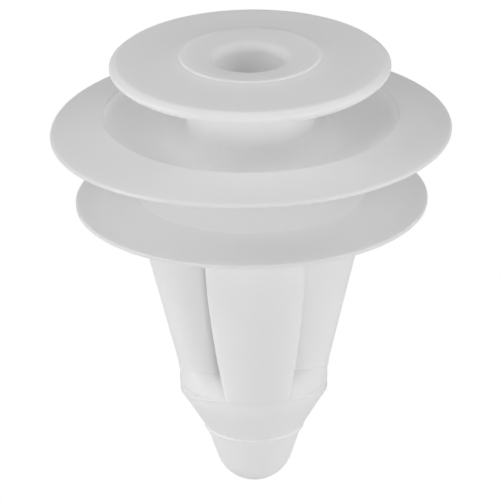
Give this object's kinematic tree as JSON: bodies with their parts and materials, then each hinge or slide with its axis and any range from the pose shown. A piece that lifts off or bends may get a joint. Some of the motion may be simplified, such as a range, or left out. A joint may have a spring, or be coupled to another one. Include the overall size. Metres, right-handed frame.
{
  "type": "push-in trim clip",
  "caption": "Push-in nylon trim clip: keyhole head, dished spring flange, thin sealing flange and a tapered snap-in shank with folding side wings.",
  "frame": {"origin": "on the clip's axis, in the plane of the metal panel's outer face, where the sealing lip's rim rests at z = 0", "axes": "+Z along the clip's axis towards the head; the folding wings stand at +X and -X, the fixed ribs at -Y (front) and +Y (back)"},
  "size_m": [0.0228, 0.0228, 0.0261],
  "materials": {
    "natural_nylon": "satin, as moulded, slightly translucent",
    "thin_nylon": "satin, as moulded, translucent where it is thin"
  },
  "bodies": {
    "clip_body": {"head_disc": "natural_nylon", "head_boss": "natural_nylon", "neck": "natural_nylon", "spring_dish": "natural_nylon", "hub": "natural_nylon", "seal_cone": "natural_nylon", "collar": "natural_nylon", "front_rib": "natural_nylon", "back_rib": "natural_nylon", "left_root": "natural_nylon", "right_root": "natural_nylon", "nose_cone": "natural_nylon", "pilot_tip": "natural_nylon"},
    "left_wing": {"left_wing": "thin_nylon"},
    "right_wing": {"right_wing": "thin_nylon"},
    "spring_lip": {"spring_lip": "thin_nylon"},
    "seal_lip": {"seal_lip": "thin_nylon"}
  },
  "joints": [
    {"name": "left_wing_flex", "type": "hinge", "parent": "clip_body", "child": "left_wing", "pos_m": [-0.0037, 0, -0.0099], "axis": [0, 1, 0], "range_deg": [0, 10], "stiffness_Nm_per_rad": 0.5},
    {"name": "right_wing_flex", "type": "hinge", "parent": "clip_body", "child": "right_wing", "pos_m": [0.0037, 0, -0.0099], "axis": [0, -1, 0], "range_deg": [0, 10], "stiffness_Nm_per_rad": 0.5},
    {"name": "spring_lip_flex", "type": "slide", "parent": "clip_body", "child": "spring_lip", "axis": [0, 0, 1], "range_m": [0, 0.0005], "stiffness_N_per_m": 2000},
    {"name": "seal_lip_flex", "type": "slide", "parent": "clip_body", "child": "seal_lip", "axis": [0, 0, 1], "range_m": [0, 0.0005], "stiffness_N_per_m": 1000}
  ]
}
